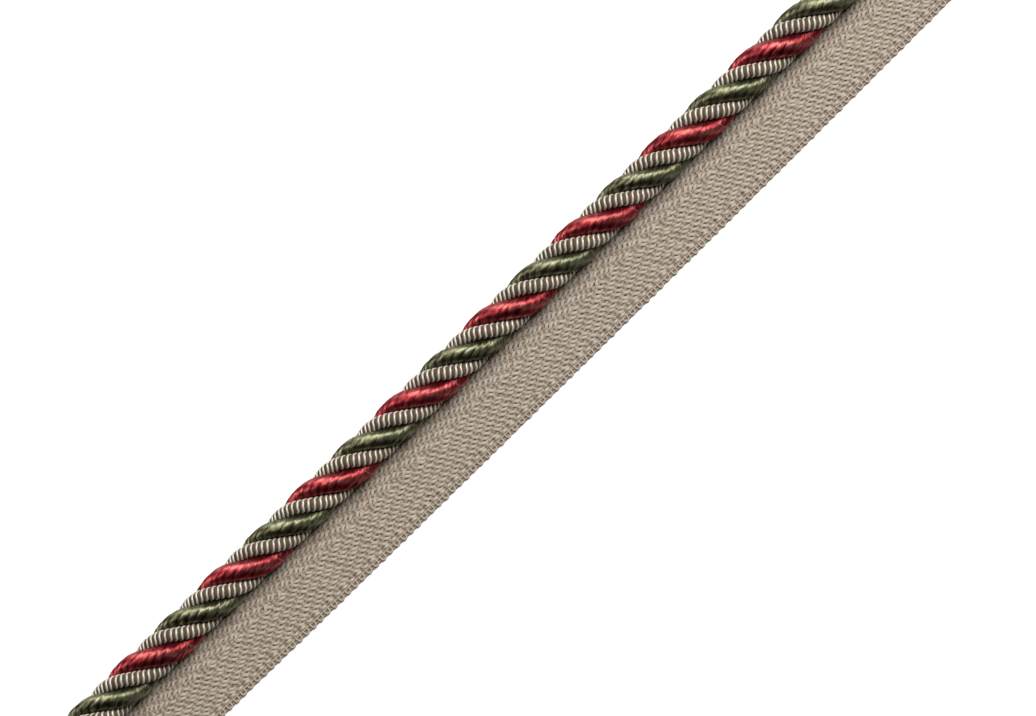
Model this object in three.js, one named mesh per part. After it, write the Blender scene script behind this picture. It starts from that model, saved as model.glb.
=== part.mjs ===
// Twisted cord trim: a cut length of four-strand furnishing cord with a woven tape along one side.
// Millimetres. +X runs along the trim, +Z is up off the surface it lies on, and the tape lies towards -Y.
// The origin is on that surface, under the middle of the trim's box.
import * as THREE from "three";

// The cut length and the cord's twist, which is right-handed about +X
const trimLength = 285;
const twistPitch = 29.7;
const stepsPerTurn = 14;

// The cord's axis is a little lower than its crowns reach, so each strand is pressed flat where it lies
const axisHeight = 4.85;

// Radii from the cord's axis: where neighbouring strands meet, and the inner side of a round gimp strand
const waistRadius = 2.6;
const gimpInnerRadius = 1.25;

// The clear space between neighbouring pieces
const pieceGap = 0.34;

// Points on the outer and the inner arch of a strand's section
const outerArchPoints = 7;
const innerArchPoints = 7;

// The tape: its tucked edge and its outer edge, both measured from the cord's axis. The outer edge bows
// a little outwards in the middle and runs slightly out of line with the cord.
const tapeThickness = 1;
const tapeTuckedEdge = 3.85;
const tapeOuterEdge = 21.78;
const tapeEdgeSlope = -0.00183;
const tapeEdgeBow = -0.0000374;
const tapeEdgeSteps = 24;

// The four strands in their order round the cord. middle is the strand's place round the cord at x = 0,
// from +Y towards +Z, and span its share of the round, both in degrees. crown is its outer radius.
const gimpSpan = 80;
const gimpCrown = 4.95;
const strands = [
  { name: "red_floss_strand", kind: "floss", middle: 4, span: 106, crown: 5.1, colour: 0x9c2f33 },
  { name: "gimp_strand_1", kind: "gimp", middle: 97, span: gimpSpan, crown: gimpCrown, colour: 0xa3947c },
  { name: "olive_floss_strand", kind: "floss", middle: 184, span: 94, crown: 5, colour: 0x6b6c46 },
  { name: "gimp_strand_2", kind: "gimp", middle: 271, span: gimpSpan, crown: gimpCrown, colour: 0xa3947c },
];

const satinRoughness = 0.45;
const threadRoughness = 0.75;
const tapeColour = 0xafa28e;
const tapeRoughness = 0.9;

function radians(degrees) {
  return (degrees * Math.PI) / 180;
}

// A point across the cord. The cord's axis is at 0, 0 and the first axis points out through the strand.
function around(radius, degrees) {
  return new THREE.Vector2(radius * Math.cos(radians(degrees)), radius * Math.sin(radians(degrees)));
}

// The angle, in degrees, that half the clear space takes up at a radius
function gapAngle(radius) {
  return (Math.asin(pieceGap / 2 / radius) * 180) / Math.PI;
}

// An arch from one waist to the other with its crown half way, as points in order of their angle
function archPoints(count, crown, middle, half) {
  return Array.from({ length: count }, (_, k) => {
    const place = radians(-90 + (180 * k) / (count - 1));
    const radius = waistRadius + (crown - waistRadius) * Math.cos(place);
    return around(radius, middle + half * Math.sin(place));
  });
}

// A gimp strand's section is round: an outer arch and an inner arch between the same two waists
function gimpSection({ span, crown }) {
  const half = span / 2 - gapAngle(waistRadius);
  const inner = archPoints(innerArchPoints, gimpInnerRadius, 0, half).slice(1, -1);
  return [...archPoints(outerArchPoints, crown, 0, half), ...inner.reverse()];
}

// A floss strand is soft. Its section fills the cord between the gimp strands, follows each of them
// inwards, and meets the other floss strand in the middle of the cord.
function flossSection({ span, crown }) {
  const outer = archPoints(outerArchPoints, crown, 0, span / 2 - gapAngle(waistRadius));
  const gimpMiddle = span / 2 + gimpSpan / 2;
  const gimpCentre = around((gimpCrown + gimpInnerRadius) / 2, gimpMiddle);
  const gimpHalf = gimpSpan / 2 - gapAngle(waistRadius);
  const gimpInner = archPoints(innerArchPoints, gimpInnerRadius, gimpMiddle, gimpHalf);
  const flank = gimpInner.slice(1, (innerArchPoints - 1) / 2).map((point) => {
    const away = point.clone().sub(gimpCentre).setLength(pieceGap);
    return point.clone().add(away);
  });
  const innerRadius = gimpInnerRadius - pieceGap;
  flank.push(around(innerRadius, gimpMiddle - gapAngle(innerRadius)));
  const mirrored = flank.map((point) => new THREE.Vector2(point.x, -point.y));
  return [...outer, ...flank, around(pieceGap / 2, 0), ...mirrored.reverse()];
}

// A strand is its section carried along the cord and turned with the twist
function strandGeometry(section, middle) {
  const steps = Math.round((trimLength / twistPitch) * stepsPerTurn);
  const count = section.length;
  const cordAxis = new THREE.Vector2(0, 0);
  const positions = [];
  for (let step = 0; step <= steps; step += 1) {
    const x = trimLength * (step / steps - 0.5);
    const turn = radians(middle + (360 * x) / twistPitch);
    for (const point of section) {
      const turned = point.clone().rotateAround(cordAxis, turn);
      positions.push(x, turned.x, Math.max(0, axisHeight + turned.y));
    }
  }

  // Each face is split from its inner corner to the next step's outer corner, alike on neighbours
  const faces = [];
  for (let step = 0; step < steps; step += 1) {
    for (let k = 0; k < count; k += 1) {
      const next = (k + 1) % count;
      const a = step * count + k;
      const b = step * count + next;
      const c = (step + 1) * count + next;
      const d = (step + 1) * count + k;
      if (section[k].length() < section[next].length()) {
        faces.push(a, b, c, a, c, d);
      } else {
        faces.push(a, b, d, b, c, d);
      }
    }
  }

  // The two cut ends
  const last = steps * count;
  for (const [a, b, c] of THREE.ShapeUtils.triangulateShape(section, [])) {
    faces.push(a, c, b);
    faces.push(last + a, last + b, last + c);
  }

  const geometry = new THREE.BufferGeometry();
  geometry.setAttribute("position", new THREE.Float32BufferAttribute(positions, 3));
  geometry.setIndex(faces);
  geometry.computeVertexNormals();
  return geometry;
}

// How far the tape's outer edge is from the cord's axis at a place along the trim
function tapeReach(x) {
  return tapeOuterEdge + tapeEdgeSlope * x + tapeEdgeBow * x * x;
}

function tapeGeometry() {
  const half = trimLength / 2;
  const outline = new THREE.Shape();
  outline.moveTo(half, -tapeTuckedEdge);
  outline.lineTo(-half, -tapeTuckedEdge);
  for (let step = 0; step <= tapeEdgeSteps; step += 1) {
    const x = trimLength * (step / tapeEdgeSteps - 0.5);
    outline.lineTo(x, -tapeReach(x));
  }
  return new THREE.ExtrudeGeometry(outline, { depth: tapeThickness, bevelEnabled: false });
}

function makeMesh(name, geometry, colour, roughness) {
  const material = new THREE.MeshStandardMaterial({ color: colour, roughness, metalness: 0 });
  const mesh = new THREE.Mesh(geometry, material);
  mesh.name = name;
  return mesh;
}

const group = new THREE.Group();

for (const strand of strands) {
  const isFloss = strand.kind === "floss";
  const section = isFloss ? flossSection(strand) : gimpSection(strand);
  const roughness = isFloss ? satinRoughness : threadRoughness;
  group.add(makeMesh(strand.name, strandGeometry(section, strand.middle), strand.colour, roughness));
}

group.add(makeMesh("herringbone_tape", tapeGeometry(), tapeColour, tapeRoughness));

// Centre the trim's box on the origin across its width
const box = new THREE.Box3().setFromObject(group);
group.position.y = -(box.min.y + box.max.y) / 2;

export default group;
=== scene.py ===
import math

import bpy
import numpy as np
from mathutils import Matrix, Vector


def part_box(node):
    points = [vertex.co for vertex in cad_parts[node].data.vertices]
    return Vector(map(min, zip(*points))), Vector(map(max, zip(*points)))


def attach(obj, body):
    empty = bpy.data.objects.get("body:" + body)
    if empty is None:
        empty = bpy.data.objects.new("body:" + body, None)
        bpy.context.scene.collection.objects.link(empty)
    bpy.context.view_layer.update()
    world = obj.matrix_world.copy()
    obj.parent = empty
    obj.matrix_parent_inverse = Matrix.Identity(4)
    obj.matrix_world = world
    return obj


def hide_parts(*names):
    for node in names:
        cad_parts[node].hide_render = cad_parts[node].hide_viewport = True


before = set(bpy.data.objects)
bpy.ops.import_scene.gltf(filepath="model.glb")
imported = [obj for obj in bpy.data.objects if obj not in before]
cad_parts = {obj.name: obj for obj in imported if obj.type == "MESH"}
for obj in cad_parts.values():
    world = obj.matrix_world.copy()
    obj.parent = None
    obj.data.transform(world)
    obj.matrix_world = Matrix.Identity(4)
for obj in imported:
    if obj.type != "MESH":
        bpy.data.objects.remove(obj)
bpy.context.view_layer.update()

# Twisted cord trim: a cut length of four-strand furnishing cord, sewn to a woven herringbone tape.
# Sizes are in millimetres in the frame of the trim: X along the cord, Z up, the tape towards -Y.
# Places round the cord run from +Y towards +Z.
MM = 0.001
RANDOM_SEED = 7

# The cord: four strands laid together with a right-handed twist about +X, meeting at the waist
TWIST_PITCH = 29.7
AXIS_HEIGHT = 4.85
WAIST_RADIUS = 2.6
GIMP_SPAN = 80.0
GIMP_INNER = 1.25
GIMP_CENTRE = 3.18
GIMP_RADIUS = 1.74

# Each strand's place round the cord at x = 0 and its share of the round, in degrees, and its crown
FLOSS_STRANDS = [
    {"node": "red_floss_strand", "slot": "red_floss", "middle": 4.0, "span": 111.0, "crown": 5.14,
     "bundle_depth": 0.18, "lump_height": 0.06},
    {"node": "olive_floss_strand", "slot": "olive_floss", "middle": 184.0, "span": 99.0, "crown": 5.04,
     "bundle_depth": 0.22, "lump_height": 0.07},
]
GIMP_STRANDS = [
    {"node": "gimp_strand_1", "middle": 97.0},
    {"node": "gimp_strand_2", "middle": 271.0},
]

# A floss strand's section: its outer arch, then the inner sides that follow the gimp strands
FLOSS_OUTER_COLUMNS = 22
FLOSS_FULLNESS = 0.65
FLOSS_FLATNESS = 4
FLOSS_VALLEY_FULLNESS = 0.85
FLOSS_VALLEY_FLATNESS = 2.6
FLOSS_FLANK_ANGLE = 0.3
FLOSS_FLANK_RADIUS = 1.55
FLOSS_CLEARANCE = 0.2
FLOSS_MIDDLE_RADIUS = 0.1
FLOSS_EDGE_FADE = 0.5

# Floss: filaments laid side by side and slanting over the strand, in soft bundles with creases between
FILAMENT_SPACING = 0.37
FILAMENT_HEIGHT = 0.035
FILAMENT_PROFILE = np.array([0.0, 1.0, 0.62])
FILAMENT_STRENGTH = (0.5, 1.3)
ROWS_PER_FILAMENT = len(FILAMENT_PROFILE)
FLOSS_REFERENCE_RADIUS = 4.4
FLOSS_SLANT = 0.45
FLOSS_SPARE = 8.0
BUNDLE_SPACING = 1.9
CREASE_WIDTH = 0.7
CREASE_LEAST = 0.7

# Unevenness of the floss: its amount, the length of its cells along the strand and their number round it
FLOSS_WANDER = (0.12, 3.0, 5)
BUNDLE_WANDER = (0.35, 3.2, 3)
CREASE_VARIATION = (0.5, 5.0, 2)
LUMP_CELLS = (1.8, 5)

# Painted shade and highlight on the floss, across the strand from its middle: its colour is painted darker
# in its creases, in the valley and on the flank towards the tape, and painted lightest on its crown
PAINTED_CREASE_SHADE = 0.3
CREASE_SHADE_START = -1.1
CREASE_SHADE_FADE = 1.8
PAINTED_VALLEY_SHADE = 0.1
VALLEY_SHADE_START = -1.8
VALLEY_SHADE_FADE = 1.2
PAINTED_FLANK_SHADE = 0.13
FLANK_SHADE_PLACE = 1.5
FLANK_SHADE_SPREAD = 1.0
PAINTED_CROWN_HIGHLIGHT = 0.1
CROWN_LIGHT_PLACE = -0.5
CROWN_LIGHT_SPREAD = 0.9

# Colour of the floss: streaks and larger patches to a millimetre, along the strand and across it
FLOSS_STREAKS = (3.8, 0.5, 1.0)
FLOSS_PATCHES = (0.9, 0.55, 1.0)
FLOSS_STREAK_DEPTH = 0.05

# Gimp: a brown core with two cream threads wound round it side by side, left-handed
WRAP_SPACING = 1.21
WRAP_STARTS = 2
WRAP_RADIUS = 0.225
WRAP_FLATNESS = 1.3
WRAP_BEND = 0.2
WRAP_HOOK = 0.07
WRAP_STEPS_PER_TURN = 18
WRAP_SIDES = 6
WRAP_DRIFT = 0.12
WRAP_DRIFT_LENGTH = 1.3
WRAP_UNEVENNESS = 0.1
WRAP_UNEVEN_LENGTH = 1.1
GIMP_SPARE = 4.0
CORE_ROWS_PER_WRAP = 6
CORE_COLUMNS = 16
CORE_GROOVE_RADIUS = 1.36
CORE_CREST_RADIUS = 1.6
CORE_ROLL_FULLNESS = 0.6
CORE_UNEVENNESS = (0.03, 2.0, 4)

# The tape's edges are measured from the cord's axis. Its outer edge bows and slopes a little.
TAPE_TUCKED_EDGE = 3.85
TAPE_OUTER_EDGE = 21.78
TAPE_EDGE_SLOPE = -0.00183
TAPE_EDGE_BOW = -0.0000374

# The weave, a two-and-two herringbone: ends run along the tape and picks across it. Widths, thicknesses and
# rises are half of the whole, and a skew or lean turns a float a little, like a grain of rice.
END_COUNT = 30
CHEVRON_END = 11
FIRST_OUTER_END = 15
LAST_TWILL_END = 26
PICK_SPACING = 1.17
PICKS_PER_FLOAT_CYCLE = 4
CROWN_SHARPNESS = 2.2
YARN_SIDES = 5
END_MIDDLE_HEIGHT = 0.55
END_STEPS_PER_CYCLE = 12
END_WIDTH = 0.38
END_THICKNESS = 0.19
END_RISE = 0.16
END_CROWN_PLUMPNESS = 0.35
END_SKEW_INNER = 0.3
END_SKEW_OUTER = -0.3
END_SKEW_VARIATION = 0.5
END_PHASE_VARIATION = 0.5
END_WANDER = 0.09
END_HEIGHT_VARIATION = 0.04
END_WIDTH_VARIATION = 0.12
PICK_MIDDLE_HEIGHT = 0.49
PICK_STEPS = 60
PICK_START = 0.1
PICK_WIDTH = 0.5
PICK_THICKNESS = 0.15
PICK_RISE = 0.11
PICK_LEAN = 0.18
PICK_WANDER = 0.14
PICK_WANDER_CELLS = 14

# The loops at the tape's outer edge, with places counted in ends: root, where the turn starts, tip
LOOP_ROOT = 26.3
LOOP_TURN = 28.7
LOOP_TIP = 29.85
LOOP_TIP_VARIATION = 0.15
LOOP_WIDTH = 0.62
LOOP_YARN = 0.25
LOOP_HEIGHT = 0.64
LOOP_SQUARENESS = 0.7
LOOP_LEG_STEPS = 4
LOOP_TURN_STEPS = 5

# The selvedge: one end floats over the foot of each loop, and two lie low and flat under the loops.
# Swell is how much wider the end is on top of a float, and roundness its thickness to its width.
SELVEDGE_ENDS = [
    {"place": 26.8, "height": 0.56, "rise": 0.2, "swell": 0.2, "roundness": 0.7},
    {"place": 27.9, "height": 0.5, "rise": 0.0, "swell": 0.0, "roundness": 0.45},
    {"place": 29.3, "height": 0.4, "rise": 0.0, "swell": 0.0, "roundness": 0.45},
]
SELVEDGE_WIDTH = 1.1
SELVEDGE_STEPS_PER_LOOP = 8
SELVEDGE_PHASE = 0.25
SELVEDGE_WANDER = 0.04
SELVEDGE_WANDER_CELLS = 90

# Painted shade and light on the tape: its colour is darker below the lower height, as painted shade down in
# the weave, and lightest above the upper one, as painted light on its crowns
TAPE_PAINTED_SHADE_HEIGHT = 0.5
TAPE_PAINTED_LIGHT_HEIGHT = 0.95
TAPE_FIBRE_SPACING = 0.25
TAPE_FIBRE_DEPTH = 0.05
TAPE_PATCH_SIZE = 5
THREAD_PATCH_SIZE = 6

# The sewing thread crosses each floss strand once a turn. Its places round the cord are in degrees, and it
# drifts along the cord as it crosses.
SEWING_THREAD = 0.11
SEWING_LIFT = 0.4
SEWING_TOP = 128.0
SEWING_FOOT = 216.0
SEWING_TURN = 182.5
SEWING_OFFSET = 0.02
SEWING_DRIFT = (1.9, -2.2)
SEWING_TURNS = range(-5, 6)
SEWING_VARIATION = 0.5
SEWING_END_MARGIN = 3
SEWING_STEPS = 18
SEWING_SIDES = 6

# Camera: straight down on the trim, which runs up to the right across the picture. The picture is as wide
# as the photo's width at the view height above the floor.
PHOTO_WIDTH = 248.4
TRIM_ANGLE = 44.4
VIEW_OFFSET = 9.6
VIEW_HEIGHT = 5.0
CAMERA_LENS = 150.0
SENSOR_WIDTH = 36.0
CAMERA_FAR = 10.0

# Light: one soft box from beyond the cord, and a little light from all round. Metres, degrees and watts.
KEY_AZIMUTH = 27.0
KEY_ELEVATION = 56.0
KEY_DISTANCE = 1.6
KEY_SIZE = (1.2, 0.85)
KEY_POWER = 46.0
AMBIENT_LIGHT = 0.03

# The board that the trim lies on, in metres. It is a hair below the trim, so the two never share a face.
BOARD_HALF_SIZE = 3.0
BOARD_DROP = 0.00005
BOARD_MOTTLE = 30.0

UPWARDS = np.array([[0.0, 0.0, 1.0]])
TINY = 1e-6

cord_low, cord_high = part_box("red_floss_strand")
CORD_Y = (cord_low.y + cord_high.y) / 2 / MM
HALF_LENGTH = (cord_high.x - cord_low.x) / 2 / MM
TURN_PER_MM = 2 * math.pi / TWIST_PITCH


def make_camera():
    camera = bpy.data.objects.new("camera", bpy.data.cameras.new("camera"))
    bpy.context.scene.collection.objects.link(camera)
    camera.data.lens = CAMERA_LENS
    camera.data.sensor_width = SENSOR_WIDTH
    distance = PHOTO_WIDTH * CAMERA_LENS / SENSOR_WIDTH
    camera.location = (0, (CORD_Y - VIEW_OFFSET) * MM, (VIEW_HEIGHT + distance) * MM)
    camera.rotation_euler = (0, 0, math.radians(-TRIM_ANGLE))
    camera.data.clip_end = CAMERA_FAR
    bpy.context.scene.camera = camera


def add_softbox(name, azimuth, elevation, distance, size, power):
    """A soft rectangular light, its size given along the trim and across it. Azimuth runs from +X towards
    +Y."""
    light = bpy.data.lights.new(name, "AREA")
    light.shape = "RECTANGLE"
    light.size, light.size_y = size
    light.energy = power
    lamp = bpy.data.objects.new(name, light)
    bpy.context.scene.collection.objects.link(lamp)
    flat = math.cos(math.radians(elevation))
    towards = Vector((
        flat * math.cos(math.radians(azimuth)),
        flat * math.sin(math.radians(azimuth)),
        math.sin(math.radians(elevation)),
    ))
    lamp.location = towards * distance
    across = towards.cross(Vector((1, 0, 0))).normalized()
    lamp.rotation_euler = Matrix((across.cross(towards), across, towards)).transposed().to_euler()


def make_studio():
    world = bpy.data.worlds.new("studio")
    bpy.context.scene.world = world
    world.use_nodes = True
    background = world.node_tree.nodes["Background"]
    background.inputs["Color"].default_value = (1, 1, 1, 1)
    background.inputs["Strength"].default_value = AMBIENT_LIGHT
    add_softbox("key softbox", KEY_AZIMUTH, KEY_ELEVATION, KEY_DISTANCE, KEY_SIZE, KEY_POWER)
    bpy.context.scene.view_settings.view_transform = "Standard"


def linear(hex_colour):
    """An sRGB hex colour as linear red, green, blue and alpha."""
    channels = [int(hex_colour[k:k + 2], 16) / 255 for k in (1, 3, 5)]
    return [c / 12.92 if c <= 0.04045 else ((c + 0.055) / 1.055) ** 2.4 for c in channels] + [1.0]


def add_node(tree, kind, settings=None, steps=(), **links):
    """Adds a shader node. Steps are a colour ramp's places and hex colours. A link is a socket to take
    from, or a value to set; _ in a name stands for a space, and i0 is the first socket."""
    node = tree.nodes.new(kind)
    for count, (place, hex_colour) in enumerate(steps):
        elements = node.color_ramp.elements
        element = elements[count] if count < len(elements) else elements.new(place)
        element.position = place
        element.color = linear(hex_colour)
    for name, value in (settings or {}).items():
        setattr(node, name, value)
    for name, value in links.items():
        key = int(name[1:]) if name[0] == "i" and name[1:].isdigit() else name.replace("_", " ")
        if isinstance(value, bpy.types.NodeSocket):
            tree.links.new(value, node.inputs[key])
        else:
            node.inputs[key].default_value = value
    return node


def new_material(name):
    material = bpy.data.materials.new(name)
    material.use_nodes = True
    tree = material.node_tree
    tree.nodes.clear()
    output = tree.nodes.new("ShaderNodeOutputMaterial")
    return material, tree, output


def rayon_floss(name, steps):
    """Rayon floss, wound: a satin with a bright line along the strand where its filaments face the light,
    broken into fine streaks across the strand. It is nearly metallic, because packed filaments give the
    light back in their own colour, and its gloss is stretched along the strand, across the filaments."""
    material, tree, output = new_material(name)
    wound = add_node(tree, "ShaderNodeAttribute", {"attribute_name": "wound"}).outputs["Vector"]
    multiply = {"operation": "MULTIPLY"}
    streaks = add_node(tree, "ShaderNodeVectorMath", multiply, i0=wound, i1=FLOSS_STREAKS)
    streak = add_node(tree, "ShaderNodeTexNoise", Vector=streaks.outputs[0], Scale=1.0, Detail=3.0)
    patches = add_node(tree, "ShaderNodeVectorMath", multiply, i0=wound, i1=FLOSS_PATCHES)
    patch = add_node(tree, "ShaderNodeTexNoise", Vector=patches.outputs[0], Scale=1.0, Detail=2.0)
    mixed = add_node(tree, "ShaderNodeMix", {"data_type": "FLOAT"}, Factor=0.45, i2=streak.outputs["Fac"],
                     i3=patch.outputs["Fac"])
    # The third part of wound is painted shade and a painted highlight, taken off the colour before its ramp
    shade = add_node(tree, "ShaderNodeSeparateXYZ", Vector=wound).outputs["Z"]
    shaded = add_node(tree, "ShaderNodeMath", {"operation": "SUBTRACT"}, i0=mixed.outputs[0], i1=shade)
    colour = add_node(tree, "ShaderNodeValToRGB", steps=steps, Fac=shaded.outputs[0]).outputs["Color"]
    bump = add_node(tree, "ShaderNodeBump", Strength=0.5, Distance=FLOSS_STREAK_DEPTH * MM,
                    Height=streak.outputs["Fac"])
    lengthwise = add_node(tree, "ShaderNodeAttribute", {"attribute_name": "lengthwise"}).outputs["Vector"]
    shader = add_node(
        tree, "ShaderNodeBsdfPrincipled", Base_Color=colour, Roughness=0.68, IOR=1.54, Anisotropic=1.0,
        Tangent=lengthwise, Normal=bump.outputs["Normal"], Metallic=0.92,
    )
    tree.links.new(shader.outputs[0], output.inputs[0])
    return material


def wine_red_floss():
    """Deep wine red, nearly black in its creases as painted shade, and rose where it shines and on its
    crown as a painted highlight.
    """
    return rayon_floss("wine red rayon floss", [
        (0.15, "#34090c"), (0.34, "#7c232b"), (0.48, "#a94042"), (0.6, "#d67573"),
    ])


def olive_green_floss():
    """Dull olive green, dark brown in its creases as painted shade, and pale where it shines and on its
    crown as a painted highlight.
    """
    return rayon_floss("olive rayon floss", [
        (0.15, "#211e14"), (0.34, "#4f4a36"), (0.48, "#76755a"), (0.6, "#a8a987"),
    ])


def spun_thread(name, steps, roughness, fibre_spacing, fibre_depth, lustre=0.0):
    """A spun or plied thread: a soft colour with darker and lighter fibres, and fine fibre relief."""
    material, tree, output = new_material(name)
    place = add_node(tree, "ShaderNodeTexCoord").outputs["Object"]
    fibres_per_metre = 1 / (fibre_spacing * MM)
    patches_per_metre = 1 / (THREAD_PATCH_SIZE * MM)
    fibre = add_node(tree, "ShaderNodeTexNoise", Vector=place, Scale=fibres_per_metre, Detail=3.0)
    patch = add_node(tree, "ShaderNodeTexNoise", Vector=place, Scale=patches_per_metre, Detail=2.0)
    mixed = add_node(tree, "ShaderNodeMix", {"data_type": "FLOAT"}, Factor=0.35, i2=fibre.outputs["Fac"],
                     i3=patch.outputs["Fac"])
    colour = add_node(tree, "ShaderNodeValToRGB", steps=steps, Fac=mixed.outputs[0]).outputs["Color"]
    bump = add_node(tree, "ShaderNodeBump", Strength=0.6, Distance=fibre_depth * MM,
                    Height=fibre.outputs["Fac"])
    shader = add_node(
        tree, "ShaderNodeBsdfPrincipled", Base_Color=colour, Roughness=roughness, IOR=1.5,
        Normal=bump.outputs["Normal"], Metallic=lustre,
    )
    tree.links.new(shader.outputs[0], output.inputs[0])
    return material


def cream_wrapping_thread():
    """Mercerised cotton has a soft shine of its own colour."""
    steps = [(0.3, "#a8a291"), (0.6, "#cecabd")]
    return spun_thread("cream mercerised cotton thread", steps, 0.5, 0.25, 0.03, lustre=0.3)


def brown_core_winding():
    """Plain cotton, matt and dark between the shiny threads."""
    steps = [(0.3, "#3f2e1d"), (0.7, "#5c4834")]
    return spun_thread("brown cotton core winding", steps, 0.9, 0.3, 0.05)


def polyester_sewing_thread():
    """Thin smooth polyester, paler than the floss that it crosses."""
    steps = [(0.3, "#7d655e"), (0.7, "#957a70")]
    return spun_thread("pale polyester sewing thread", steps, 0.5, 0.2, 0.01)


def cotton_tape_yarn():
    """Soft matt cotton yarn with a little fibre relief. Its colour is lighter where it crowns, as painted
    light, and browner and darker down in the weave, as painted shade."""
    material, tree, output = new_material("beige cotton tape yarn")
    place = add_node(tree, "ShaderNodeTexCoord").outputs["Object"]
    height = add_node(tree, "ShaderNodeSeparateXYZ", Vector=place).outputs["Z"]
    # Painted shade and light: the colour is mapped from dark low in the weave to light on the crowns
    painted_light_and_shade = add_node(tree, "ShaderNodeMapRange", i0=height, i1=TAPE_PAINTED_SHADE_HEIGHT * MM,
                       i2=TAPE_PAINTED_LIGHT_HEIGHT * MM).outputs[0]
    fibres_per_metre = 1 / (TAPE_FIBRE_SPACING * MM)
    patches_per_metre = 1 / (TAPE_PATCH_SIZE * MM)
    fibre = add_node(tree, "ShaderNodeTexNoise", Vector=place, Scale=fibres_per_metre, Detail=3.0)
    patch = add_node(tree, "ShaderNodeTexNoise", Vector=place, Scale=patches_per_metre, Detail=2.0)
    mixed = add_node(tree, "ShaderNodeMix", {"data_type": "FLOAT"}, Factor=0.35, i2=fibre.outputs["Fac"],
                     i3=patch.outputs["Fac"])
    toned = add_node(tree, "ShaderNodeMix", {"data_type": "FLOAT"}, Factor=0.3, i2=painted_light_and_shade,
                     i3=mixed.outputs[0])
    steps = [(0.2, "#806d5b"), (0.5, "#9c8f80"), (0.8, "#a79c8f")]
    colour = add_node(tree, "ShaderNodeValToRGB", steps=steps, Fac=toned.outputs[0]).outputs["Color"]
    bump = add_node(tree, "ShaderNodeBump", Strength=0.6, Distance=TAPE_FIBRE_DEPTH * MM,
                    Height=fibre.outputs["Fac"])
    shader = add_node(
        tree, "ShaderNodeBsdfPrincipled", Base_Color=colour, Roughness=0.9, IOR=1.5,
        Normal=bump.outputs["Normal"], Sheen_Weight=0.1, Sheen_Roughness=0.5,
    )
    tree.links.new(shader.outputs[0], output.inputs[0])
    return material


def white_board_paint():
    """Matt white board: a plain even surface with a faint mottle."""
    material, tree, output = new_material("matt white board")
    place = add_node(tree, "ShaderNodeTexCoord").outputs["Object"]
    mottle = add_node(tree, "ShaderNodeTexNoise", Vector=place, Scale=BOARD_MOTTLE, Detail=2.0)
    steps = [(0.3, "#f4f4f3"), (0.7, "#f7f7f6")]
    colour = add_node(tree, "ShaderNodeValToRGB", steps=steps, Fac=mottle.outputs["Fac"]).outputs["Color"]
    shader = add_node(tree, "ShaderNodeBsdfPrincipled", Base_Color=colour, Roughness=0.9)
    tree.links.new(shader.outputs[0], output.inputs[0])
    return material


def make_piece(name, points, sides, caps, material, attributes=None):
    """A smooth mesh piece from points in millimetres, its side faces, the flat faces of its cut ends, and
    point attributes."""
    mesh = bpy.data.meshes.new(name)
    corners = np.concatenate([np.ravel(sides), np.ravel(caps)]).astype(np.int32)
    sizes = np.repeat([len(sides[0]), len(caps[0])], [len(sides), len(caps)])
    starts = np.cumsum(sizes) - sizes
    mesh.vertices.add(len(points))
    mesh.vertices.foreach_set("co", (np.asarray(points, float) * MM).astype(np.float32).ravel())
    mesh.loops.add(len(corners))
    mesh.loops.foreach_set("vertex_index", corners)
    mesh.polygons.add(len(sizes))
    mesh.polygons.foreach_set("loop_start", starts.astype(np.int32))
    mesh.polygons.foreach_set("use_smooth", np.arange(len(sizes)) < len(sides))
    for attribute, values in (attributes or {}).items():
        data = mesh.attributes.new(attribute, "FLOAT_VECTOR", "POINT").data
        data.foreach_set("vector", np.asarray(values, np.float32).ravel())
    mesh.update(calc_edges=True)
    mesh.validate()
    mesh.materials.append(material)
    piece = bpy.data.objects.new(name, mesh)
    bpy.context.scene.collection.objects.link(piece)
    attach(piece, "root")
    return piece


def noise_weights(count, cells):
    """For each of count places over the cells: the cell's lower corner, and the share of its upper one."""
    place = np.linspace(0, cells, count)
    low = np.minimum(place.astype(int), cells)
    part = place - low
    return low, part * part * (3 - 2 * part)


def soft_noise(rng, rows, columns, row_cells, column_cells):
    """Smooth noise from -1 to 1 on a grid, with about that many cells each way."""
    coarse = rng.uniform(-1, 1, (row_cells + 2, column_cells + 2))
    row_low, row_part = noise_weights(rows, row_cells)
    column_low, column_part = noise_weights(columns, column_cells)

    def along_columns(row_corners):
        nodes = coarse[row_corners]
        return nodes[:, column_low] * (1 - column_part) + nodes[:, column_low + 1] * column_part

    row_part = row_part[:, None]
    return along_columns(row_low) * (1 - row_part) + along_columns(row_low + 1) * row_part


def line_noise(rng, count, cells):
    """Smooth noise from -1 to 1 along a line, with about that many cells."""
    return soft_noise(rng, count, 1, cells, 1)[:, 0]


def uneven(rng, rows, columns, length, amount, cell_length, cells_round):
    """Unevenness of a strand's grid, with cells of a given length along it and a given number round it."""
    return amount * soft_noise(rng, rows, columns, int(length / cell_length), cells_round)


def press_flat(points):
    """Moves what would be below the board up on to it."""
    points[:, 2] = np.maximum(points[:, 2], 0.0)
    return points


def on_cord(x, angle, radius):
    """Points at a place along the cord, at an angle that turns with the twist and is the true one at x = 0,
    and at a radius from the cord's axis."""
    around = angle + x * TURN_PER_MM
    y = CORD_Y + radius * np.cos(around)
    z = np.maximum(AXIS_HEIGHT + radius * np.sin(around), 0.0)
    return np.stack([x + 0 * around, y, z], -1)


def trim_to_length(points, faces):
    """Ends the strand flat at the trim's cut ends: faces past an end are dropped, and corners past it slide
    back along the twist on to it."""
    past = np.abs(points[:, 0]) > HALF_LENGTH
    faces = faces[~past[faces].all(1)]
    x = np.clip(points[:, 0], -HALF_LENGTH, HALF_LENGTH)
    turn = (x - points[:, 0]) * TURN_PER_MM
    y, z = points[:, 1] - CORD_Y, points[:, 2] - AXIS_HEIGHT
    points = np.stack([
        x,
        CORD_Y + y * np.cos(turn) - z * np.sin(turn),
        AXIS_HEIGHT + y * np.sin(turn) + z * np.cos(turn),
    ], -1)
    return points, faces


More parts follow.
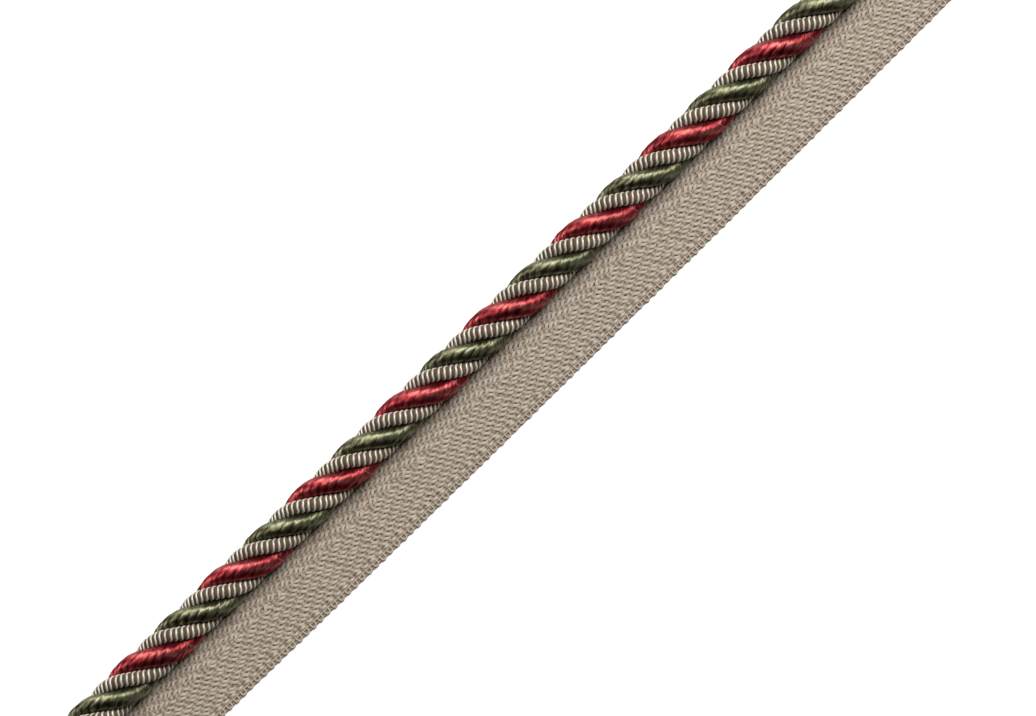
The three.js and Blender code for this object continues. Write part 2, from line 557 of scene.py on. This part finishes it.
def wound_grid_faces(rows, columns, seam_shift):
    """Faces of a grid that closes on itself across its columns, joined seam_shift rows on."""
    row, column = np.meshgrid(np.arange(rows - 1), np.arange(columns), indexing="ij")
    next_column = (column + 1) % columns
    next_row = row + np.where(next_column == 0, seam_shift, 0)
    corners = np.stack([
        row * columns + column,
        next_row * columns + next_column,
        (next_row + 1) * columns + next_column,
        (row + 1) * columns + column,
    ], -1)
    on_grid = (next_row >= 0) & (next_row + 1 < rows)
    return corners[on_grid]


def used_points(points, faces, *others):
    """Leaves out the points that no face uses, and their rows in what else is given."""
    used = np.unique(faces)
    place = np.full(len(points), -1, np.int64)
    place[used] = np.arange(len(used))
    return points[used], place[faces], *[other[used] for other in others]


def close_cut_ends(points, faces):
    """Fills each cut end with faces from its outline to its middle, and returns them with the points."""
    edges = np.concatenate([faces[:, [k, (k + 1) % 4]] for k in range(4)])
    key = edges.min(1) * len(points) + edges.max(1)
    _, first, count = np.unique(key, return_index=True, return_counts=True)
    outline = edges[first[count == 1]]
    caps, middles = [], []
    for end in (-1, 1):
        ring = outline[points[outline[:, 0], 0] * end > 0]
        middles.append(points[ring].mean((0, 1)))
        caps.append(np.column_stack([ring[:, ::-1], np.full(len(ring), len(points) + len(middles) - 1)]))
    return np.concatenate([points, middles]), np.concatenate(caps)


def floss_radius(strand, angle):
    """How far a floss strand's surface is from the cord's axis, at an angle from the strand's middle. Its
    side in the valley falls away sooner than its side towards the tape."""
    share = np.clip(np.abs(angle) / math.radians(strand["span"] / 2), 0, 1)
    flatness = np.where(angle < 0, FLOSS_VALLEY_FLATNESS, FLOSS_FLATNESS)
    fullness = np.where(angle < 0, FLOSS_VALLEY_FULLNESS, FLOSS_FULLNESS)
    return WAIST_RADIUS + (strand["crown"] - WAIST_RADIUS) * (1 - share**flatness) ** fullness


def floss_section(strand):
    """Points round a floss strand: angles from its middle, radii from the cord's axis, and how much of the
    floss's relief each point has, which fades to none where the strand turns inwards."""
    half = math.radians(strand["span"] / 2)
    place = np.linspace(-math.pi / 2, math.pi / 2, FLOSS_OUTER_COLUMNS)
    outer_angles = half * np.sin(place)
    flank = half + FLOSS_FLANK_ANGLE
    gimp_middle = half + math.radians(GIMP_SPAN / 2)
    gimp_side = GIMP_INNER - FLOSS_CLEARANCE
    angles = np.concatenate([outer_angles, [flank, gimp_middle, 0, -gimp_middle, -flank]])
    radii = np.concatenate([
        floss_radius(strand, outer_angles),
        [FLOSS_FLANK_RADIUS, gimp_side, FLOSS_MIDDLE_RADIUS, gimp_side, FLOSS_FLANK_RADIUS],
    ])
    outside = np.zeros(len(angles))
    outside[:FLOSS_OUTER_COLUMNS] = np.cos(place).clip(0) ** FLOSS_EDGE_FADE
    return angles, radii, outside


def floss_relief(strand, s, columns, rng):
    """The relief of the floss at rows s along the strand: its filaments, the creases between its bundles,
    and its lumps. Each crease and its depth are given back too."""
    rows = len(s)
    length = 2 * s[-1]
    profile = FILAMENT_PROFILE[np.arange(rows) % ROWS_PER_FILAMENT]
    strength = rng.uniform(*FILAMENT_STRENGTH, rows // ROWS_PER_FILAMENT + 1)
    strength = np.repeat(strength, ROWS_PER_FILAMENT)[:rows]
    relief = FILAMENT_HEIGHT * (profile * strength)[:, None]
    bundle = s[:, None] / BUNDLE_SPACING + uneven(rng, rows, columns, length, *BUNDLE_WANDER)
    depth = strand["bundle_depth"] * (CREASE_LEAST + uneven(rng, rows, columns, length, *CREASE_VARIATION))
    crease = 1 - np.abs(np.sin(math.pi * bundle)) ** CREASE_WIDTH
    relief = relief - depth * crease
    relief = relief + uneven(rng, rows, columns, length, strand["lump_height"], *LUMP_CELLS)
    return relief, crease, depth


def painted_floss_shade(strand, across, crease, depth):
    """How much darker the floss's colour is painted across the strand from its middle: painted shade in its
    creases, its valley and on its flank, less a painted highlight on its crown.
    """
    side = ((across - CREASE_SHADE_START) / CREASE_SHADE_FADE).clip(0, 1)
    valley = ((VALLEY_SHADE_START - across) / VALLEY_SHADE_FADE).clip(0, 1)
    flank = np.exp(-((across - FLANK_SHADE_PLACE) / FLANK_SHADE_SPREAD) ** 2)
    crown = np.exp(-((across - CROWN_LIGHT_PLACE) / CROWN_LIGHT_SPREAD) ** 2)
    shade = PAINTED_CREASE_SHADE * side * crease * depth / strand["bundle_depth"]
    return shade + PAINTED_VALLEY_SHADE * valley + PAINTED_FLANK_SHADE * flank - PAINTED_CROWN_HIGHLIGHT * crown


def directions_along(grid):
    """Each point's direction along its strand, for the stretched gloss of satin."""
    along = np.gradient(grid, axis=0)
    return along / np.linalg.norm(along, axis=2, keepdims=True).clip(TINY)


def make_floss_strand(strand, material, rng):
    """A soft strand that fills the cord between the gimp strands, wound all over with floss. Its attribute
    "wound" holds each point's place along the strand, its place across it and its painted shade and
    highlight."""
    angles, radii, outside = floss_section(strand)
    columns = len(angles)
    slope = math.atan(FLOSS_REFERENCE_RADIUS * TURN_PER_MM)
    reach = (HALF_LENGTH + FLOSS_SPARE) / math.cos(slope)
    rows = int(2 * reach / (FILAMENT_SPACING / ROWS_PER_FILAMENT))
    s = np.linspace(-reach, reach, rows)
    across = FLOSS_REFERENCE_RADIUS * angles
    along = s[:, None] + uneven(rng, rows, columns, 2 * reach, *FLOSS_WANDER)
    x = (along - across * (math.sin(slope) + FLOSS_SLANT)) * math.cos(slope)

    relief, crease, depth = floss_relief(strand, s, columns, rng)
    radius = radii + (relief - FILAMENT_HEIGHT) * outside
    grid = on_cord(x, math.radians(strand["middle"]) + angles, radius)
    shade = painted_floss_shade(strand, across, crease, depth)
    wound = np.stack([along, np.broadcast_to(across, x.shape), shade], -1).reshape(-1, 3)
    lengthwise = directions_along(grid).reshape(-1, 3)

    points, faces = trim_to_length(grid.reshape(-1, 3), wound_grid_faces(rows, columns, 0))
    points, faces, wound, lengthwise = used_points(press_flat(points), faces, wound, lengthwise)
    points, caps = close_cut_ends(points, faces)
    attributes = {
        "wound": np.concatenate([wound, np.zeros((2, 3))]),
        "lengthwise": np.concatenate([lengthwise, np.repeat(UPWARDS, 2, 0)]),
    }
    name = strand["node"].replace("strand", "windings")
    piece = make_piece(name, points, faces, caps, material, attributes)
    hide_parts(strand["node"])
    return piece


def gimp_line(s, middle):
    """The gimp strand's own line and its outward and sideways directions at lengths s along it."""
    slope = math.atan(GIMP_CENTRE * TURN_PER_MM)
    x = s * math.cos(slope)
    around = middle + x * TURN_PER_MM
    zero = np.zeros_like(s)
    outward = np.stack([zero, np.cos(around), np.sin(around)], -1)
    line = np.stack([
        x,
        CORD_Y + GIMP_CENTRE * np.cos(around),
        AXIS_HEIGHT + GIMP_CENTRE * np.sin(around),
    ], -1)
    forward = np.stack([
        zero + math.cos(slope),
        -math.sin(slope) * np.sin(around),
        math.sin(slope) * np.cos(around),
    ], -1)
    return line, outward, np.cross(forward, outward)


def gimp_reach():
    """Half the length of a gimp strand's line, with a little over to be cut off."""
    return (HALF_LENGTH + GIMP_SPARE) / math.cos(math.atan(GIMP_CENTRE * TURN_PER_MM))


def wrap_advance(beta):
    """How far along its strand a wrapping thread has come at an angle round it. It crosses the outer and
    the inner side straight, and moves on where the strand touches its neighbours."""
    turn = beta * WRAP_SPACING * WRAP_STARTS / (2 * math.pi)
    return WRAP_BEND * np.sin(2 * beta) - WRAP_HOOK * np.sin(4 * beta) - turn


def make_gimp_core(strand, material, rng):
    """The brown winding between the cream threads, a low roll between each two of them."""
    reach = gimp_reach()
    step = WRAP_SPACING / CORE_ROWS_PER_WRAP
    rows = int(2 * reach / step)
    beta = 2 * math.pi * np.arange(CORE_COLUMNS) / CORE_COLUMNS
    s = -reach + step * np.arange(rows)[:, None] + wrap_advance(beta)
    line, outward, sideways = gimp_line(s, math.radians(strand["middle"]))
    phase = 2 * math.pi * np.arange(rows) / CORE_ROWS_PER_WRAP
    roll = (0.5 - 0.5 * np.cos(phase)) ** CORE_ROLL_FULLNESS
    radius = CORE_GROOVE_RADIUS + (CORE_CREST_RADIUS - CORE_GROOVE_RADIUS) * roll[:, None]
    radius = radius + uneven(rng, rows, CORE_COLUMNS, 2 * reach, *CORE_UNEVENNESS)
    away = np.cos(beta)[:, None] * outward + np.sin(beta)[:, None] * sideways
    points = line + radius[..., None] * away
    faces = wound_grid_faces(rows, CORE_COLUMNS, -CORE_ROWS_PER_WRAP * WRAP_STARTS)[:, ::-1]
    points, faces = trim_to_length(points.reshape(-1, 3), faces)
    points, faces = used_points(press_flat(points), faces)
    points, caps = close_cut_ends(points, faces)
    name = strand["node"].replace("strand", "core")
    piece = make_piece(name, points, faces, caps, material)
    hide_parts(strand["node"])
    return piece


def tube_faces(steps, sides):
    """The side faces and the two end faces of a tube."""
    step, side = np.meshgrid(np.arange(steps - 1), np.arange(sides), indexing="ij")
    other = (side + 1) % sides
    around = np.stack([
        step * sides + side, step * sides + other, (step + 1) * sides + other, (step + 1) * sides + side,
    ], -1).reshape(-1, 4)
    ends = np.array([np.arange(sides)[::-1], (steps - 1) * sides + np.arange(sides)])
    return around, ends


def tube_points(path, up, half_width, half_height, sides):
    """Points round a path: half_height along the up direction and half_width across it."""
    forward = np.gradient(path, axis=0)
    forward = forward / np.linalg.norm(forward, axis=1, keepdims=True)
    up = up - (up * forward).sum(1, keepdims=True) * forward
    up = up / np.linalg.norm(up, axis=1, keepdims=True)
    across = np.cross(forward, up)
    turn = 2 * math.pi * (np.arange(sides) + 0.5) / sides
    ring = (
        np.cos(turn)[None, :, None] * up[:, None] * np.reshape(half_height, (-1, 1, 1))
        + np.sin(turn)[None, :, None] * across[:, None] * np.reshape(half_width, (-1, 1, 1))
    )
    return (path[:, None] + ring).reshape(-1, 3)


def make_tubes(name, tubes, sides, material):
    """One piece of many tubes, each a list of points ring by ring."""
    around, ends, count = [], [], 0
    for tube in tubes:
        tube_around, tube_ends = tube_faces(len(tube) // sides, sides)
        around.append(tube_around + count)
        ends.append(tube_ends + count)
        count += len(tube)
    points = press_flat(np.concatenate(tubes))
    points[:, 0] = points[:, 0].clip(-HALF_LENGTH, HALF_LENGTH)
    return make_piece(name, points, np.concatenate(around), np.concatenate(ends), material)


def make_gimp_wrap(strand, material, rng):
    """The two cream threads wound round the gimp's core."""
    reach = gimp_reach()
    lead = WRAP_SPACING * WRAP_STARTS
    steps = int(2 * reach / lead * WRAP_STEPS_PER_TURN)
    tubes = []
    for start in range(WRAP_STARTS):
        beta = np.linspace(reach, -reach, steps) * 2 * math.pi / lead
        drift = WRAP_DRIFT * line_noise(rng, steps, int(2 * reach / WRAP_DRIFT_LENGTH))
        s = wrap_advance(beta) + start * WRAP_SPACING + drift
        line, outward, sideways = gimp_line(s, math.radians(strand["middle"]))
        away = np.cos(beta)[:, None] * outward + np.sin(beta)[:, None] * sideways
        uneven_size = WRAP_UNEVENNESS * line_noise(rng, steps, int(2 * reach / WRAP_UNEVEN_LENGTH))
        size = WRAP_RADIUS * (1 + uneven_size)
        path = line + (GIMP_RADIUS - size)[:, None] * away
        kept = np.abs(path[:, 0]) < HALF_LENGTH - WRAP_RADIUS
        half_width = WRAP_FLATNESS * size[kept]
        tubes.append(tube_points(path[kept], away[kept], half_width, size[kept], WRAP_SIDES))
    name = strand["node"].replace("strand", "wrapping")
    return make_tubes(name, tubes, WRAP_SIDES, material)


def tape_reach(x):
    """How far the tape's outer edge is from the cord's axis."""
    return TAPE_OUTER_EDGE + TAPE_EDGE_SLOPE * x + TAPE_EDGE_BOW * x * x


def end_y(place, x):
    """Y of a place across the tape counted in ends, from 0 at the tucked edge."""
    return CORD_Y - TAPE_TUCKED_EDGE - place / END_COUNT * (tape_reach(x) - TAPE_TUCKED_EDGE)


def float_middle(place):
    """The middle of the float at a place across the tape, counted in picks: it lies one pick further on for
    each end as far as the chevron, and one pick back for each end past it."""
    return CHEVRON_END - np.abs(place - CHEVRON_END) + 0.5


def tape_end(end, x, cycles, rng):
    """One end of the tape: it floats over two picks and dives under two. Its float lies askew, one way
    before the chevron and the other way past it."""
    steps = len(x)
    jitter = END_PHASE_VARIATION * line_noise(rng, steps, cycles)
    phase = 2 * math.pi * (x / PICK_SPACING - float_middle(end)) / PICKS_PER_FLOAT_CYCLE + jitter
    rise = np.cos(phase)
    lift = 2 * ((1 + rise) / 2) ** CROWN_SHARPNESS - 1
    skew = END_SKEW_INNER if end < CHEVRON_END else END_SKEW_OUTER
    skew = skew * (1 + END_SKEW_VARIATION * line_noise(rng, steps, cycles))
    y = end_y(end + 0.5, x) + skew * np.sin(2 * phase) * (rise > 0)
    y = y + END_WANDER * line_noise(rng, steps, cycles)
    z = END_MIDDLE_HEIGHT + END_RISE * lift
    z = z + END_HEIGHT_VARIATION * line_noise(rng, steps, 2 * cycles)
    plump = 1 + END_CROWN_PLUMPNESS * lift.clip(0)
    plump = plump + END_WIDTH_VARIATION * line_noise(rng, steps, 2 * cycles)
    path = np.stack([x, y, z], -1)
    return tube_points(path, UPWARDS, END_WIDTH * plump, END_THICKNESS * plump, YARN_SIDES)


def make_tape_ends(name, ends, material, rng):
    """Ends of the tape, side by side."""
    cycles = 2 * HALF_LENGTH / (PICK_SPACING * PICKS_PER_FLOAT_CYCLE)
    x = np.linspace(-HALF_LENGTH, HALF_LENGTH, int(cycles * END_STEPS_PER_CYCLE) + 1)
    tubes = [tape_end(end, x, int(cycles), rng) for end in ends]
    return make_tubes(name, tubes, YARN_SIDES, material)


def tape_pick(pick, rng):
    """One pick, from the tucked edge to the root of its loop. It crowns over the ends that dive."""
    place = np.linspace(PICK_START, LOOP_ROOT, PICK_STEPS)
    phase = 2 * math.pi * (pick - float_middle(place - 0.5)) / PICKS_PER_FLOAT_CYCLE
    x = pick * PICK_SPACING + PICK_LEAN * np.sin(2 * phase) * (np.cos(phase) < 0)
    x = x + PICK_WANDER * line_noise(rng, PICK_STEPS, PICK_WANDER_CELLS)
    z = PICK_MIDDLE_HEIGHT + PICK_RISE * (2 * ((1 - np.cos(phase)) / 2) ** CROWN_SHARPNESS - 1)
    return np.stack([x, end_y(place, x), z], -1)


def loop_leg(pick, side, root_height):
    """A loop's leg, from its pick's end to where the loop turns. The two legs spread apart and rise."""
    share = np.linspace(0, 1, LOOP_LEG_STEPS + 1)[1:]
    x = pick * PICK_SPACING + side * (LOOP_WIDTH - PICK_SPACING / 2) * share
    place = LOOP_ROOT + (LOOP_TURN - LOOP_ROOT) * share
    z = root_height + (LOOP_HEIGHT - root_height) * share
    return np.stack([x, end_y(place, x), z], -1)


def loop_turn(middle, rng):
    """The rounded tip of a loop."""
    bend = np.linspace(-math.pi / 2, math.pi / 2, LOOP_TURN_STEPS + 2)[1:-1]
    x = middle + LOOP_WIDTH * np.sign(bend) * np.abs(np.sin(bend)) ** LOOP_SQUARENESS
    tip = (LOOP_TIP - LOOP_TURN) * (1 + LOOP_TIP_VARIATION * rng.uniform(-1, 1))
    place = LOOP_TURN + tip * np.cos(bend) ** LOOP_SQUARENESS
    return np.stack([x, end_y(place, x), np.full(len(bend), LOOP_HEIGHT)], -1)


def make_tape_picks(material, rng):
    """The picks cross the tape in pairs, and each pair is joined by a wide loop that stands out of the
    tape's outer edge. A pick is flat in the weave and round in its loop."""
    pairs = int((HALF_LENGTH - PICK_WIDTH) / PICK_SPACING)
    tubes = []
    for pair in range(-pairs // 2 + 1, pairs // 2 + 1):
        legs = []
        for side in (-1, 1):
            pick = 2 * pair + (side - 1) / 2
            woven = tape_pick(pick, rng)
            legs.append(np.concatenate([woven, loop_leg(pick, side, woven[-1, 2])]))
        turn = loop_turn((2 * pair - 0.5) * PICK_SPACING, rng)
        path = np.concatenate([legs[0], turn, legs[1][::-1]])
        flat = np.repeat([1.0, 0.0, 1.0], [PICK_STEPS, len(path) - 2 * PICK_STEPS, PICK_STEPS])
        width = LOOP_YARN + (PICK_WIDTH - LOOP_YARN) * flat
        thickness = LOOP_YARN + (PICK_THICKNESS - LOOP_YARN) * flat
        tubes.append(tube_points(path, UPWARDS, width, thickness, YARN_SIDES))
    return make_tubes("tape_picks", tubes, YARN_SIDES, material)


def make_selvedge(material, rng):
    """The ends along the tape's outer edge, which hold the loops."""
    loop_spacing = 2 * PICK_SPACING
    steps = int(2 * HALF_LENGTH / loop_spacing * SELVEDGE_STEPS_PER_LOOP) + 1
    x = np.linspace(-HALF_LENGTH, HALF_LENGTH, steps)
    lift = np.cos(2 * math.pi * (x / loop_spacing + SELVEDGE_PHASE))
    tubes = []
    for end in SELVEDGE_ENDS:
        y = end_y(end["place"], x) + SELVEDGE_WANDER * line_noise(rng, steps, SELVEDGE_WANDER_CELLS)
        z = end["height"] + end["rise"] * lift
        width = END_WIDTH * (SELVEDGE_WIDTH + end["swell"] * lift)
        path = np.stack([x, y, z], -1)
        tubes.append(tube_points(path, UPWARDS, width, end["roundness"] * width, YARN_SIDES))
    return make_tubes("tape_selvedge", tubes, YARN_SIDES, material)


def make_sewing(material, rng):
    """The thread that sews the cord to its tape comes out between two strands, crosses the floss and goes
    down into the tape, once a turn on each floss strand."""
    around = np.radians(np.linspace(SEWING_TOP, SEWING_FOOT, SEWING_STEPS))
    away = np.stack([0 * around, np.cos(around), np.sin(around)], -1)
    half_thread = SEWING_THREAD / 2
    tubes = []
    for strand, drift in zip(FLOSS_STRANDS, SEWING_DRIFT):
        first = (SEWING_TURN - strand["middle"]) / 360
        for turn in SEWING_TURNS:
            variation = rng.uniform(-SEWING_VARIATION, SEWING_VARIATION)
            middle = (first + turn + SEWING_OFFSET) * TWIST_PITCH + variation
            if abs(middle) > HALF_LENGTH - SEWING_END_MARGIN:
                continue
            x = middle + drift * np.linspace(-0.5, 0.5, SEWING_STEPS)
            angle = around - x * TURN_PER_MM - math.radians(strand["middle"])
            angle = (angle + math.pi) % (2 * math.pi) - math.pi
            radius = floss_radius(strand, angle) + SEWING_THREAD * SEWING_LIFT
            path = on_cord(x, around - x * TURN_PER_MM, radius)
            tubes.append(tube_points(path, away, half_thread, half_thread, SEWING_SIDES))
    return make_tubes("sewing_thread", tubes, SEWING_SIDES, material)


def make_board(material):
    mesh = bpy.data.meshes.new("white board")
    size = BOARD_HALF_SIZE
    corners = [(-size, -size, 0), (size, -size, 0), (size, size, 0), (-size, size, 0)]
    mesh.from_pydata(corners, [], [(0, 1, 2, 3)])
    mesh.materials.append(material)
    board = bpy.data.objects.new("white_board", mesh)
    board.location.z = -BOARD_DROP
    bpy.context.scene.collection.objects.link(board)


def make_cord(rng):
    floss = {"red_floss": wine_red_floss(), "olive_floss": olive_green_floss()}
    cream_thread = cream_wrapping_thread()
    brown_thread = brown_core_winding()
    for strand in FLOSS_STRANDS:
        make_floss_strand(strand, floss[strand["slot"]], rng)
    for strand in GIMP_STRANDS:
        make_gimp_core(strand, brown_thread, rng)
        make_gimp_wrap(strand, cream_thread, rng)


def make_tape(rng):
    cotton = cotton_tape_yarn()
    inner_ends = make_tape_ends("tape_inner_ends", range(FIRST_OUTER_END), cotton, rng)
    outer_ends = make_tape_ends("tape_outer_ends", range(FIRST_OUTER_END, LAST_TWILL_END), cotton, rng)
    picks = make_tape_picks(cotton, rng)
    selvedge = make_selvedge(cotton, rng)
    for cloth in (inner_ends, outer_ends, picks, selvedge):
        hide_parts("herringbone_tape")


make_camera()
make_studio()
make_board(white_board_paint())

random_draws = np.random.default_rng(RANDOM_SEED)
make_cord(random_draws)
make_tape(random_draws)
make_sewing(polyester_sewing_thread(), random_draws)
